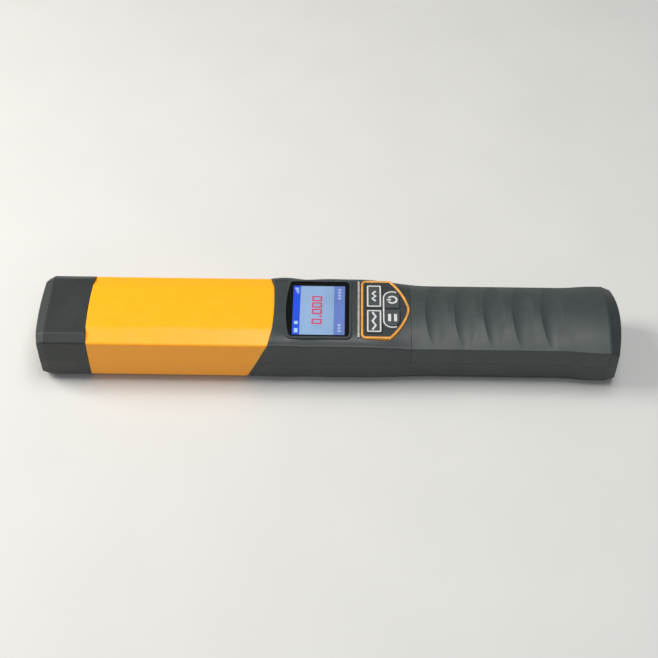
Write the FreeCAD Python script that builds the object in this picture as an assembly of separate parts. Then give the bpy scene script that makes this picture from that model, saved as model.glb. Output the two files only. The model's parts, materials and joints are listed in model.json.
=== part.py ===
"""Wand tester: a hand-held instrument with a sampling nose, a yellow sleeve, a colour screen, four keys and a grip.

Millimetres. +X runs from the nose to the tail, +Z out of the screen, and the origin is under the middle of the
wand, on the surface that it lies on. The driving dimensions come first, then the values that follow from them.
"""
import FreeCAD, Part

import math
import os

Vector = FreeCAD.Vector

# ---- driving dimensions: the casing ----
length = 313.0
body_width = 50.0
body_height = 34.0
wall = 2.0
cap_length = 27.0
sleeve_length = 100.0
head_length = 73.5
tail_bevel_length = 7.0
fit_gap = 0.2
seam_gap = 0.2

# ---- cross-sections ----
lip_width = 0.9
lip_drop = 0.9
head_edge_inset = 1.2
head_edge_drop = 2.6
head_crown_power = 9.0
grip_edge_inset = 2.8
grip_edge_drop = 5.6
grip_crown_power = 2.0
grip_belt_inset = 1.8
flare_edge_inset = 1.5
flare_belt_inset = 0.4
foot_inset = 5.4
chine_height = 6.0
foot_radius = 2.0
chine_radius = 2.5
grip_arch = 1.5
sleeve_flat_inset = 10.0
cap_flat_inset = 5.4
shoulder_drop = 3.0
sleeve_wall = 2.0
sleeve_proud = 0.2

# ---- joints between the casing's pieces ----
sleeve_rear_bulge = 1.6
sleeve_rear_rake = 0.45
sleeve_front_bulge = 1.2
nose_bulge = 1.8
tail_bulge = 2.4
nose_bevel_length = 5.2
nose_bevel_drop = 3.0
nose_side_inset = 1.2
nose_wall = 3.0

# ---- nose parts ----
duct_radius = 4.2
duct_wall = 1.0
duct_drop = 1.0
grille_half = 13.5
grille_height = 11.0
grille_thickness = 2.0
grille_sink = 1.4
slot_count = 7
sensor_radius = 9.0
sensor_height = 9.5
sensor_cap_height = 3.0
pump_height = 12.0
pump_half = 6.5
motor_radius = 5.6
motor_length = 17.0
hose_outer = 2.4
hose_bore = 1.55

# ---- grip ----
skin_thickness = 2.0
scallop_count = 5
scallop_pitch = 15.5
scallop_width = 12.0
scallop_depth = 1.35
scallop_start = 13.6
scallop_edge_depth = -0.15

# ---- screen ----
screen_length = 28.0
screen_width = 35.0
window_margin_front = 3.6
window_margin_rear = 2.4
window_margin_side = 2.2
window_bow = 2.2
window_thickness = 1.2
window_sink = 0.4
window_corner = 2.2
rim_width = 1.3
rim_proud = 0.3
mask_thickness = 0.2
lip_thickness = 0.7
gasket_thickness = 0.3
panel_thickness = 1.8
panel_margin = 1.7
screen_offset = 10.0

# ---- keypad ----
pad_straight = 14.0
pad_taper = 9.5
pad_half = 19.4
pad_tip_half = 3.2
border_width = 1.3
border_proud = 0.35
plate_thickness = 1.6
plate_proud = 0.1
key_length = 8.4
key_wide = 16.2
key_gap = 0.25
key_web = 1.7
pair_width = 7.9
pair_half = 12.0
key_proud = 0.55
key_travel = 0.6
flange_rim = 0.45
ledge = 0.5
flange_thickness = 1.0
stem_radius = 1.5
dome_radius = 3.6
dome_spare = 0.2
dome_metal = 0.15
trim_length = 40.0
trim_width = 1.2
trim_proud = 0.5
trim_depth = 1.2
trim_gap_front = 3.2
trim_gap_rear = 0.6

# ---- electronics ----
board_thickness = 1.6
board_top_below_lid = 7.4
board_inset = 6.0
buzzer_radius = 6.0
buzzer_height = 5.9
cell_radius = 7.1
cell_length = 50.0
cell_gap = 0.6
spring_room = 4.0
contact_thickness = 0.4
spring_radius = 3.0
spring_wire = 0.3
spring_turns = 3
tray_wall = 1.5
door_half = 16.0
door_lip = 2.0
hinge_radius = 2.2
hinge_pin_radius = 0.9
hinge_clearance = 0.08
door_gap = 0.3

# ---- fasteners ----
screw_shank = 1.1
screw_head = 2.2
screw_head_height = 1.6
screw_clearance = 0.1
counterbore = 2.6
boss_radius = 3.0

# ---- tail ----
socket_bore = 2.8
socket_depth = 9.0
cover_length = 13.0
cover_height = 9.0
cover_thickness = 1.6
cover_pin_radius = 0.5
strap_bar_radius = 1.25
strap_pocket_length = 9.0
strap_pocket_width = 10.0
strap_pocket_depth = 5.0

# ---- values that follow: the casing ----
nose_x = -length / 2
tail_x = length / 2
cap_x = nose_x + cap_length
sleeve_x = cap_x + sleeve_length
grip_x = sleeve_x + head_length
bevel_x = tail_x - tail_bevel_length
belt_z = body_height / 2
side = body_width / 2
belt_half = side - sleeve_proud
head_edge_half = side - head_edge_inset
grip_edge_half = side - grip_edge_inset
grip_belt_half = side - grip_belt_inset
flare_edge_half = side - flare_edge_inset
flare_belt_half = side - flare_belt_inset
foot_half = side - foot_inset
sleeve_flat_half = side - sleeve_flat_inset
cap_flat_half = side - cap_flat_inset
neck_inset = sleeve_wall + fit_gap
neck_cavity = neck_inset + wall
neck_front = nose_x + nose_bevel_length + 1.3
bow_start = grip_x - 27.5
bow_end = grip_x + 14.0
flare_start = bevel_x - 23.5
flare_end = bevel_x - 5.5
duct_z = belt_z - duct_drop
strap_x = bevel_x - 1.5
strap_z = strap_bar_radius + 0.9
far = length
FLAT = 0.01


def box(x0, x1, y0, y1, z0, z1):
    """A box between two corners."""
    return Part.makeBox(x1 - x0, y1 - y0, z1 - z0, Vector(x0, y0, z0))


def rod(radius, start, direction, span):
    """A cylinder from a point along a direction."""
    return Part.makeCylinder(radius, span, Vector(*start), Vector(*direction))


def join(shapes):
    """One shape from several that touch or overlap."""
    whole = shapes[0]
    for shape in shapes[1:]:
        whole = whole.fuse(shape)
    return whole.removeSplitter()


def ease(x, start, end, low, high):
    """A value that runs smoothly from low at start to high at end."""
    t = min(1.0, max(0.0, (x - start) / (end - start)))
    return low + (high - low) * t * t * (3 - 2 * t)


# ---- rounded outlines ----
def round_corner(before, here, after, radius):
    """The start, middle and end of the arc that rounds one corner."""
    back = (before - here).normalize()
    ahead = (after - here).normalize()
    half = back.getAngle(ahead) / 2
    reach = radius / math.tan(half)
    inward = (back + ahead).normalize()
    centre = here + inward * (radius / math.sin(half))
    return here + back * reach, centre - inward * radius, here + ahead * reach


def rounded_edges(points, radii, closed=True):
    """Straight edges through the points, with an arc at each corner that has a radius."""
    count = len(points)
    spots = []
    for i, (point, radius) in enumerate(zip(points, radii)):
        if radius and (closed or 0 < i < count - 1):
            spots.append(round_corner(points[i - 1], point, points[(i + 1) % count], radius))
        else:
            spots.append((point,))
    edges = []
    for i, spot in enumerate(spots):
        if len(spot) == 3:
            edges.append(Part.Arc(*spot).toShape())
        if closed or i < count - 1:
            following = spots[(i + 1) % count][0]
            if (following - spot[-1]).Length > FLAT:
                edges.append(Part.LineSegment(spot[-1], following).toShape())
    return edges


def plate_xy(outline, z0, z1):
    """A flat plate from an outline of (x, y, corner radius), between two heights."""
    points = [Vector(x, y, z0) for x, y, _ in outline]
    wire = Part.Wire(rounded_edges(points, [r for _, _, r in outline]))
    return Part.Face(wire).extrude(Vector(0, 0, z1 - z0))


def rectangle(x0, x1, y0, y1, radius):
    """A rectangle as an outline with equal corner radii."""
    return [(x0, y0, radius), (x1, y0, radius), (x1, y1, radius), (x0, y1, radius)]


# ---- the casing's cross-sections ----
def mirrored(half):
    """A closed outline from its half with positive y, from top to bottom."""
    return half + [(-y, z, r) for y, z, r in reversed(half)]


def prism_x(half, x0, x1):
    """A straight body of one cross-section, given as its half, between two stations."""
    outline = mirrored(half)
    points = [Vector(x0, y, z) for y, z, _ in outline]
    wire = Part.Wire(rounded_edges(points, [r for _, _, r in outline]))
    return Part.Face(wire).extrude(Vector(x1 - x0, 0, 0))


def shouldered(flat_half, inset, soften):
    """Half a section with a flat top, sloping shoulders and a flat foot, taken in by an inset."""
    return [
        (flat_half - inset * 0.35, body_height - inset, soften),
        (side - 0.5 - inset, body_height - shoulder_drop - inset * 0.75, max(0.4, 1.4 - inset * 0.3)),
        (side - inset, belt_z, 0),
        (side - 0.8 - inset, chine_height + inset * 0.4, max(0.6, chine_radius - inset * 0.4)),
        (foot_half - inset * 0.5, inset, max(0.6, foot_radius - inset * 0.3)),
    ]


def sleeve_section(inset):
    """Half the sleeve's section, with wide soft shoulders."""
    return shouldered(sleeve_flat_half, inset, 10.0)


def cap_section(inset):
    """Half the nose cap's section, with crisp narrow shoulders."""
    return shouldered(cap_flat_half, inset, 1.2)


def edge_half(x):
    """Half the width between the top's two edges at a station."""
    narrow = ease(x, bow_start, bow_end, head_edge_half, grip_edge_half)
    return narrow + ease(x, flare_start, flare_end, 0, flare_edge_half - grip_edge_half)


def belt_at(x):
    """Half the width at the seam between the shells at a station."""
    narrow = ease(x, bow_start, bow_end, belt_half, grip_belt_half)
    return narrow + ease(x, flare_start, flare_end, 0, flare_belt_half - grip_belt_half)


def edge_drop(x):
    """How far the top's edges lie below its crown at a station."""
    return ease(x, bow_start, bow_end - 6.0, head_edge_drop, grip_edge_drop)


def crown_power(x):
    """How late the crown falls away: a high power is flat, and 2 is a plain arch."""
    blend = ease(x, bow_start, bow_end - 4.0, 0.0, 1.0)
    return head_crown_power * (grip_crown_power / head_crown_power) ** blend


def foot_z(x):
    """Height of the underside at a station: the grip arches a little off the table."""
    rise = ease(x, bow_start, bow_end, 0, grip_arch)
    return rise - ease(x, flare_start, flare_end, 0, grip_arch)


def body_section(x, inset=0.0, tuck=0.0, drop=0.0):
    """The head and grip's closed section at a station, taken in by an inset. A tuck narrows it and a drop lowers its top."""
    edge_y = edge_half(x) - inset - tuck
    crown_z = body_height - inset - drop
    fall = edge_drop(x)
    power = crown_power(x)
    steps = 8
    ys = [edge_y * math.sin(math.pi / 2 * k / steps) for k in range(-steps, steps + 1)]
    top = [Vector(x, y, crown_z - fall * (abs(y) / edge_y) ** power) for y in ys]
    crown = Part.BSplineCurve()
    crown.interpolate(top)
    lip_start = top[-1]
    lip_end = lip_start + Vector(0, lip_width, -lip_drop)
    lip_middle = lip_start + Vector(0, lip_width * 0.72, -lip_drop * 0.36)
    foot = foot_z(x) + inset + drop * 0.5
    half = [
        (lip_end, 0),
        (Vector(x, belt_at(x) - inset - tuck, belt_z), 0),
        (Vector(x, belt_at(x) - 0.9 - inset - tuck, foot + chine_height - inset * 0.6),
         max(0.6, chine_radius - inset * 0.4)),
        (Vector(x, foot_half - inset * 0.5 - tuck, foot), max(0.6, foot_radius - inset * 0.3)),
    ]
    other = [(Vector(p.x, -p.y, p.z), r) for p, r in reversed(half)]
    path = half + other
    edges = [crown.toShape(), Part.Arc(lip_start, lip_middle, lip_end).toShape()]
    edges += rounded_edges([p for p, _ in path], [r for _, r in path], closed=False)
    flipped = [Vector(p.x, -p.y, p.z) for p in (lip_end, lip_middle, lip_start)]
    edges.append(Part.Arc(*flipped).toShape())
    return Part.Wire(edges)


def stations(start, end):
    """Stations along the body, closer together where its shape changes."""
    marks = {start, end}
    x = start
    while x < end - 2.0:
        marks.add(x)
        changing = bow_start - 8 < x < bow_end + 4 or flare_start - 8 < x < flare_end + 4
        x += 5.0 if changing else 14.0
    return sorted(marks)


def body_loft(start, end, inset=0.0):
    """The head and grip as one smooth solid, taken in by an inset."""
    sections = [body_section(x, inset) for x in stations(start, end)]
    return Part.makeLoft(sections, True, False, False, 5)


def tail_bevel(inset=0.0):
    """The short tapered end behind the grip."""
    end = tail_x + 1.0 - inset
    start = body_section(bevel_x, inset)
    return Part.makeLoft([start, body_section(end, inset, 1.4, nose_bevel_drop)], True, True)


def bowed_block(x_middle, bulge, towards, reach, z0, z1, half=None):
    """Everything on one side of an upright bowed surface. It bulges towards +X or -X by bulge at the middle."""
    half = half or side
    wide = half + 6.0
    sag = bulge * (wide / half) ** 2
    middle = Vector(x_middle, 0, z0)
    ends = [Vector(x_middle - towards * sag, side * wide, z0) for side in (-1, 1)]
    arc = Part.Arc(ends[0], middle, ends[1]).toShape()
    back = [Vector(x_middle + reach, side * wide, z0) for side in (1, -1)]
    lines = Part.makePolygon([ends[1], *back, ends[0]])
    face = Part.Face(Part.Wire([arc, *lines.Edges]))
    return face.extrude(Vector(0, 0, z1 - z0))


def ahead_of_sleeve_rear(shift):
    """Everything in front of the raked, bowed line where the sleeve meets the head, moved back by a shift."""
    high = body_height + 6.0
    low = -6.0
    block = bowed_block(sleeve_x + shift + sleeve_rear_rake * (high - body_height), sleeve_rear_bulge, 1,
                        -far, high, high + 1)
    face = [f for f in block.Faces if abs(f.CenterOfMass.z - high) < FLAT][0]
    drop = high - low
    return face.extrude(Vector(-sleeve_rear_rake * drop, 0, -drop))


def ahead_of_sleeve_front(shift):
    """Everything in front of the bowed line where the nose cap meets the sleeve."""
    return bowed_block(cap_x + shift, sleeve_front_bulge, -1, -far, -6.0, body_height + 6.0)


# ---- outline of the screen window and the keypad ----
screen_x0 = sleeve_x + screen_offset
screen_x1 = screen_x0 + screen_length
window_x0 = screen_x0 - window_margin_front
window_x1 = screen_x1 + window_margin_rear
window_half = screen_width / 2 + window_margin_side
trim_x = window_x1 + rim_width + trim_gap_front
pad_x0 = trim_x + trim_width + trim_gap_rear + border_width
pad_x1 = pad_x0 + pad_straight
pad_tip = pad_x1 + pad_taper
lid_z = body_height


def round_uprights(shape, radius):
    """Rounds the upright edges of a plate."""
    uprights = [e for e in shape.Edges if abs(e.Vertexes[0].Z - e.Vertexes[-1].Z) > FLAT]
    return shape.makeFillet(radius, uprights)


def window_block(grow, z0, z1):
    """The screen window's outline, grown by an amount, as a plate. Its nose side is bowed."""
    x0 = window_x0 - grow
    x1 = window_x1 + grow
    half = window_half + grow
    ends = [Vector(x0 + window_bow, side * half, z0) for side in (-1, 1)]
    bow = Part.Arc(ends[0], Vector(x0, 0, z0), ends[1]).toShape()
    lines = Part.makePolygon([ends[1], Vector(x1, half, z0), Vector(x1, -half, z0), ends[0]])
    block = Part.Face(Part.Wire([bow, *lines.Edges])).extrude(Vector(0, 0, z1 - z0))
    return round_uprights(block, window_corner + grow * 0.5)


def shield(grow, z0, z1):
    """The keypad's shield outline, grown by an amount, as a plate: straight sides, then a bowed point."""
    half = pad_half + grow
    left = Vector(pad_x0 - grow, 0, z0)
    tip = Vector(pad_tip + grow, 0, z0)
    turn = Vector(pad_x1 + grow * 0.4, half, z0)
    brow = Vector(pad_x1 + pad_taper * 0.62 + grow * 0.8, pad_half * 0.56 + grow * 0.75, z0)
    near_tip = Vector(tip.x - 0.5, pad_tip_half, z0)
    corner = round_corner(Vector(left.x, 0, z0), Vector(left.x, half, z0), turn, 1.6 + grow)
    edges = []
    edges.append(Part.LineSegment(Vector(left.x, -corner[0].y, z0), corner[0]).toShape())
    edges.append(Part.Arc(*corner).toShape())
    edges.append(Part.LineSegment(corner[2], turn).toShape())
    edges.append(Part.Arc(turn, brow, near_tip).toShape())
    edges.append(Part.Arc(near_tip, tip, Vector(near_tip.x, -near_tip.y, z0)).toShape())
    mirror = FreeCAD.Matrix()
    mirror.scale(1, -1, 1)
    for edge in reversed(edges[1:4]):
        edges.append(edge.transformGeometry(mirror))
    wire = Part.Wire(Part.__sortEdges__(edges))
    return Part.Face(wire).extrude(Vector(0, 0, z1 - z0))


# ---- keys: name, outline of its cap ----
key_column_x = pad_x0 + 1.5
key_column_end = key_column_x + key_length
pair_x0 = key_column_end + key_web
pair_x1 = pair_x0 + pair_width
pair_end = pair_width / 2 - 0.05
KEYS = {
    "key_up": rectangle(key_column_x, key_column_end, key_web / 2, key_web / 2 + key_wide, 0.8),
    "key_down": rectangle(key_column_x, key_column_end, -key_web / 2 - key_wide, -key_web / 2, 0.8),
    "key_power": [(pair_x0, key_web / 2, 0.8), (pair_x1, key_web / 2, 0.8), (pair_x1, pair_half, pair_end),
                  (pair_x0, pair_half, pair_end)],
    "key_enter": [(pair_x0, -key_web / 2, 0.8), (pair_x1, -key_web / 2, 0.8), (pair_x1, -pair_half, pair_end),
                  (pair_x0, -pair_half, pair_end)],
}


def grown(outline, amount):
    """An outline moved outwards on every side, or inwards if the amount is negative."""
    xs = [x for x, _, _ in outline]
    ys = [y for _, y, _ in outline]
    cx = (min(xs) + max(xs)) / 2
    cy = (min(ys) + max(ys)) / 2
    return [(x + (amount if x > cx else -amount), y + (amount if y > cy else -amount), max(0.2, r + amount))
            for x, y, r in outline]


def middle(outline):
    """The middle of an outline."""
    xs = [x for x, _, _ in outline]
    ys = [y for _, y, _ in outline]
    return (min(xs) + max(xs)) / 2, (min(ys) + max(ys)) / 2


# ---- heights of the stacked parts under the lid ----
plate_top = lid_z + plate_proud
plate_bottom = plate_top - plate_thickness
key_top = plate_top + key_proud
flange_top = plate_bottom - fit_gap
flange_bottom = flange_top - flange_thickness
board_top = lid_z - board_top_below_lid
board_bottom = board_top - board_thickness
dome_height = key_travel + dome_spare
stem_bottom = board_top + dome_height + 0.05
window_top = lid_z - window_sink
window_bottom = window_top - window_thickness
mask_bottom = window_bottom - mask_thickness
gasket_top = mask_bottom - lip_thickness
gasket_bottom = gasket_top - gasket_thickness
panel_bottom = gasket_bottom - panel_thickness

# ---- places of bosses and boards ----
sensor_x = cap_x + 16.0
sensor_board_top = neck_cavity + 5.2
sensor_board_x0 = cap_x + 4.0
sensor_board_x1 = cap_x + 66.0
pump_x = sensor_x + 24.0
buzzer_x = sleeve_x + 28.0
board_half = side - board_inset
board_x0 = sleeve_x - 5.0
board_x1 = grip_x - 1.8
head_screw_x = sleeve_x - 10.0
waist_screw_x = grip_x + 7.0
tail_screw_x = bevel_x - 9.5
shell_screws = [(head_screw_x, side - 9.5), (waist_screw_x, side - 9.0), (tail_screw_x, side - 9.5)]
board_screws = [(board_x0 + 3.2, board_half - 5.5), (board_x1 - 3.0, board_half - 5.5)]
cap_screw_x = cap_x - 9.0
cap_screw_half = side - 14.0
cell_x0 = grip_x + 26.5
cell_x1 = cell_x0 + cell_length
bay_x0 = cell_x0 - contact_thickness - 1.0
bay_x1 = cell_x1 + spring_room
bay_half = 2 * cell_radius + cell_gap
door_x0 = bay_x0 - 6.5
door_x1 = bay_x1 + 2.0
floor_z = grip_arch
inner_floor = floor_z + wall
hinge_x = door_x0 + hinge_radius
hinge_z = floor_z + hinge_radius
cell_z = inner_floor + 0.4 + cell_radius
tray_top = cell_z + cell_radius + 0.4
skin_x0 = grip_x + 0.15
skin_x1 = bevel_x - 0.15
socket_z = belt_z + 2.5
cover_half = cover_length / 2
face_x = tail_x - cover_thickness - 0.3
cover_x0 = face_x + 0.05
cover_z0 = socket_z - cover_height / 2
cover_pivot_x = cover_x0 + cover_thickness / 2
cover_pivot_z = cover_z0 + cover_thickness / 2


def both_sides(places):
    """Each (x, y) place and its mirror image across the middle plane."""
    return [(x, s * y) for x, y in places for s in (1, -1)]


# ---- casing ----
def outer_body():
    """The outside of the head, the grip and the tail."""
    start = sleeve_x - 30.0
    whole = join([body_loft(start, bevel_x), tail_bevel()])
    return whole.common(bowed_block(tail_x, tail_bulge, 1, -far, 0, body_height + 6.0))


def upper_half():
    """Everything above the seam between the shells."""
    return box(-far, far, -far, far, belt_z + seam_gap / 2, body_height + 6)


def lower_half():
    """Everything below the seam between the shells."""
    return box(-far, far, -far, far, -6, belt_z - seam_gap / 2)


def neck(inset, start, end):
    """The straight part that the sleeve covers, taken in by an inset."""
    return prism_x(sleeve_section(inset), start, end)


def body_room(start, end, inset):
    """Room inside the head or the grip between two stations, under a wall of a given thickness."""
    return body_loft(start, end, inset).cut(ahead_of_sleeve_rear(fit_gap + wall))


def screen_and_pad_openings():
    """What the upper shell leaves open for the screen and the keypad."""
    seat = window_block(rim_width + 0.1, mask_bottom, lid_z + 2)
    through = window_block(-1.4, gasket_top - 1, lid_z + 2)
    pocket = plate_xy(grown(panel_outline(), fit_gap), board_top, gasket_top)
    pad_seat = shield(border_width + 0.1, plate_bottom, lid_z + 2)
    pad_through = shield(-ledge, lid_z - wall - 4, lid_z + 2)
    trim_slot = box(trim_x - 0.1, trim_x + trim_width + 0.1, -trim_length / 2 - 0.1, trim_length / 2 + 0.1,
                    lid_z - trim_depth, lid_z + 2)
    return [seat, through, pocket, pad_seat, pad_through, trim_slot]


def boss(x, y, radius, z0, z1):
    """An upright round post."""
    return rod(radius, (x, y, z0), (0, 0, 1), z1 - z0)


def tail_opening():
    """The recess in the tail's end wall for the charging socket's cover, with the hole for the socket."""
    recess = box(face_x, tail_x + 2, -cover_half - 0.3, cover_half + 0.3, cover_z0 - 0.3,
                 cover_z0 + cover_height + 0.3)
    hole = rod(socket_bore + 0.4, (bevel_x - 3, 0, socket_z), (1, 0, 0), 20)
    pins = rod(cover_pin_radius + hinge_clearance, (cover_pivot_x, -cover_half - 1.4, cover_pivot_z), (0, 1, 0),
               2 * cover_half + 2.8)
    return recess.fuse([hole, pins])


def upper_shell(outer):
    """The top casing, with its openings and bosses."""
    grip_box = box(grip_x, bevel_x, -far, far, belt_z, body_height + 6)
    core = body_loft(grip_x - 6.0, bevel_x + 2.0, skin_thickness).common(grip_box)
    solid = outer.cut([grip_box, ahead_of_sleeve_rear(fit_gap)])
    solid = solid.fuse([core, neck(neck_inset, neck_front, sleeve_x + 1.0)]).common(upper_half())
    head_room = body_room(sleeve_x - 31, grip_x, wall)
    grip_room = body_loft(grip_x - 1.0, bevel_x - 0.5, skin_thickness + wall - 0.2)
    solid = solid.cut([head_room, grip_room, neck(neck_cavity, neck_front + wall, sleeve_x + 3.0)])
    posts = [boss(x, y, boss_radius, belt_z + seam_gap / 2, body_height) for x, y in both_sides(shell_screws)]
    posts += [boss(x, y, 2.2, board_top, body_height) for x, y in both_sides(board_screws)]
    head_fill = body_loft(head_screw_x + 4.0, grip_x, wall * 0.6).cut(ahead_of_sleeve_rear(fit_gap + 0.5))
    filled = [head_fill, neck(neck_inset + 0.5, neck_front, sleeve_x + 2),
              body_loft(grip_x - 1.0, bevel_x, skin_thickness + 0.6)]
    posts = Part.makeCompound(posts).common(filled[0].fuse(filled[1:]))
    holes = [boss(x, y, screw_shank + 0.05, belt_z - 1, belt_z + 8.5) for x, y in both_sides(shell_screws)]
    holes += [boss(x, y, 0.85, board_top - 1, board_top + 2.6) for x, y in both_sides(board_screws)]
    return biggest(solid.fuse(posts).cut(holes + screen_and_pad_openings() + tail_and_nose_cuts()))


def tail_and_nose_cuts():
    """Openings that both shells share: the charging socket's, and the duct's at the front."""
    duct = rod(duct_radius + 0.15, (neck_front - 1, 0, duct_z), (1, 0, 0), wall + 2)
    return [tail_opening(), duct]


def biggest(shape):
    """The largest solid of a shape, without crumbs."""
    return max(shape.Solids, key=lambda s: s.Volume)


def lower_shell(outer):
    """The bottom casing, with its bosses, battery opening, hinge lugs, sound holes and strap pocket."""
    solid = outer.common(lower_half()).cut(ahead_of_sleeve_rear(fit_gap))
    solid = solid.fuse(neck(neck_inset, neck_front, sleeve_x + 1.0).common(lower_half()))
    solid = solid.cut([body_room(sleeve_x - 31, bevel_x - 0.5, wall),
                       neck(neck_cavity, neck_front + wall, sleeve_x + 3.0)])
    posts = [boss(x, y, boss_radius, 0, belt_z - seam_gap / 2) for x, y in both_sides(shell_screws)]
    posts += [boss(cap_screw_x, s * cap_screw_half, 2.6, 0, neck_inset + 8) for s in (1, -1)]
    lug = box(hinge_x - 3.2, hinge_x + 3.2, door_half + door_gap, door_half + door_gap + 2.6, 0, hinge_z + 2.6)
    pocket_wall = box(strap_x - strap_pocket_length / 2 - 1.6, strap_x + strap_pocket_length / 2 + 1.6,
                      -strap_pocket_width / 2 - 3.6, strap_pocket_width / 2 + 3.6, 0, strap_pocket_depth + 1.6)
    filled = neck(neck_inset + 0.5, neck_front, sleeve_x + 2).fuse(
        body_loft(head_screw_x + 4.0, bevel_x, wall * 0.6).cut(ahead_of_sleeve_rear(fit_gap + 0.5)))
    solids = Part.makeCompound(posts + [lug, lug.mirror(Vector(0, 0, 0), Vector(0, 1, 0)), pocket_wall])
    solid = solid.fuse(solids.common(filled))
    cuts = [box(door_x0 - door_gap, door_x1 + door_gap, -door_half - door_gap, door_half + door_gap,
                -3, inner_floor + 0.1)]
    cuts.append(rod(hinge_pin_radius + hinge_clearance, (hinge_x, -door_half - 2.2, hinge_z), (0, 1, 0),
                    2 * door_half + 4.4))
    for x, y in both_sides(shell_screws):
        cuts.append(boss(x, y, counterbore, -3, foot_z(x) + 6.0))
        cuts.append(boss(x, y, screw_shank + 0.25, 0, belt_z + 1))
    cuts += [boss(cap_screw_x, s * cap_screw_half, 0.85, 0, neck_inset + 5.5) for s in (1, -1)]
    cuts += [boss(x, y, 0.8, -3, wall + 1) for x, y in sound_holes()]
    cuts.append(box(strap_x - strap_pocket_length / 2, strap_x + strap_pocket_length / 2,
                    -strap_pocket_width / 2, strap_pocket_width / 2, -3, strap_pocket_depth))
    cuts.append(rod(strap_bar_radius + 0.02, (strap_x, -strap_pocket_width / 2 - 2.5, strap_z), (0, 1, 0),
                    strap_pocket_width + 5))
    return biggest(solid.cut(cuts + tail_and_nose_cuts()))


def sound_holes():
    """A ring of small holes round a middle one, under the buzzer."""
    ring = [(buzzer_x + 3.6 * math.cos(math.radians(60 * k)), 3.6 * math.sin(math.radians(60 * k)))
            for k in range(6)]
    return [(buzzer_x, 0.0)] + ring


def grip_skin(outer):
    """The soft ribbed skin over the top of the grip."""
    zone = box(skin_x0, skin_x1, -far, far, belt_z + seam_gap / 2, body_height + 6)
    radius = (scallop_width ** 2 / 4 + scallop_depth ** 2) / (2 * scallop_depth)
    fall = grip_edge_drop - scallop_depth + scallop_edge_depth
    crown = grip_edge_half ** 2 / (2 * fall)
    bottom = body_height - scallop_depth
    cuts = [body_loft(grip_x - 6.0, bevel_x + 2.0, skin_thickness)]
    for k in range(scallop_count):
        x = grip_x + scallop_start + k * scallop_pitch
        cuts.append(Part.makeTorus(crown + radius, radius, Vector(x, 0, bottom - crown), Vector(1, 0, 0)))
    return biggest(outer.common(zone).cut(cuts))


def yellow_sleeve():
    """The bright sleeve that slides over the neck."""
    x0 = cap_x - 8
    x1 = sleeve_x + 8
    tube = prism_x(sleeve_section(0), x0, x1).cut(prism_x(sleeve_section(sleeve_wall), x0 - 1, x1 + 1))
    tube = tube.common(ahead_of_sleeve_rear(0)).cut(ahead_of_sleeve_front(0))
    return biggest(tube)


def cap_outside():
    """The outside of the nose cap: straight, then bevelled towards a bowed end."""
    bevel_at = nose_x + nose_bevel_length
    main = prism_x(cap_section(0), bevel_at, cap_x + 4)
    small = [(y - nose_side_inset, z - nose_bevel_drop if z > belt_z else z, r) for y, z, r in cap_section(0)]
    small[3] = (small[3][0], small[3][1] + 0.6, small[3][2])
    small[4] = (small[4][0] - 0.6, 1.6, small[4][2])
    wires = []
    for x, half in ((nose_x - 0.6, small), (bevel_at, cap_section(0))):
        outline = mirrored(half)
        points = [Vector(x, y, z) for y, z, _ in outline]
        wires.append(Part.Wire(rounded_edges(points, [r for _, _, r in outline])))
    bevel = Part.makeLoft(wires, True, True)
    whole = join([main, bevel])
    return whole.common(bowed_block(nose_x, nose_bulge, -1, far, -6.0, body_height + 6.0))


def nose_cap():
    """The black cap over the front of the neck, with the air inlet in its end."""
    outside = cap_outside().common(ahead_of_sleeve_front(-fit_gap))
    inside = prism_x(sleeve_section(sleeve_wall), nose_x + nose_wall + nose_bulge, cap_x + 6)
    cap = outside.cut(inside)
    opening = plate_yz(grille_half, grille_height / 2, 2.5, duct_z, nose_x - 2, nose_x + 12)
    cap = cap.cut(opening)
    for s in (1, -1):
        cap = cap.cut(boss(cap_screw_x, s * cap_screw_half, 2.3, -1, 1.1))
        cap = cap.cut(boss(cap_screw_x, s * cap_screw_half, 1.2, -1, 4))
    return biggest(cap)


def plate_yz(half, half_height, radius, z, x0, x1):
    """A rounded upright plate across the body, centred on the middle plane at a height."""
    corners = [(half, half_height), (half, -half_height), (-half, -half_height), (-half, half_height)]
    points = [Vector(x0, y, z + dz) for y, dz in corners]
    wire = Part.Wire(rounded_edges(points, [radius] * 4))
    return Part.Face(wire).extrude(Vector(x1 - x0, 0, 0))


def intake_grille():
    """The slotted insert in the cap's end."""
    x0 = nose_x + grille_sink
    plate = plate_yz(grille_half - 0.15, grille_height / 2 - 0.15, 2.35, duct_z, x0, x0 + grille_thickness)
    pitch = 2 * (grille_half - 1.5) / slot_count
    for k in range(slot_count):
        y = (k - (slot_count - 1) / 2) * pitch
        slot = plate_yz(0.9, grille_height / 2 - 1.8, 0.85, duct_z, x0 - 1, x0 + grille_thickness + 1)
        plate = plate.cut(slot.translated(Vector(0, y, 0)))
    return plate


def sampling_duct():
    """The funnel that leads air from the grille to the sensor."""
    x0 = nose_x + grille_sink + grille_thickness + 0.1
    x1 = neck_front - 0.2
    x2 = cap_x + 1.5

    def funnel(grow):
        mouth = plate_yz(grille_half - 1.2 + grow, grille_height / 2 - 1.2 + grow, 2.0 + grow, duct_z, x0, x0 + 1)
        wire = [f for f in mouth.Faces if abs(f.CenterOfMass.x - x0) < FLAT][0].OuterWire
        throat = Part.Wire(Part.makeCircle(duct_radius - duct_wall + grow, Vector(x1, 0, duct_z), Vector(1, 0, 0)))
        return Part.makeLoft([wire, throat], True, True)

    outer = funnel(duct_wall).fuse(rod(duct_radius, (x1, 0, duct_z), (1, 0, 0), x2 - x1))
    inner = funnel(0).fuse(rod(duct_radius - duct_wall, (x1 - 0.01, 0, duct_z), (1, 0, 0), x2 - x1 + 0.02))
    return biggest(outer.cut(inner))


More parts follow.
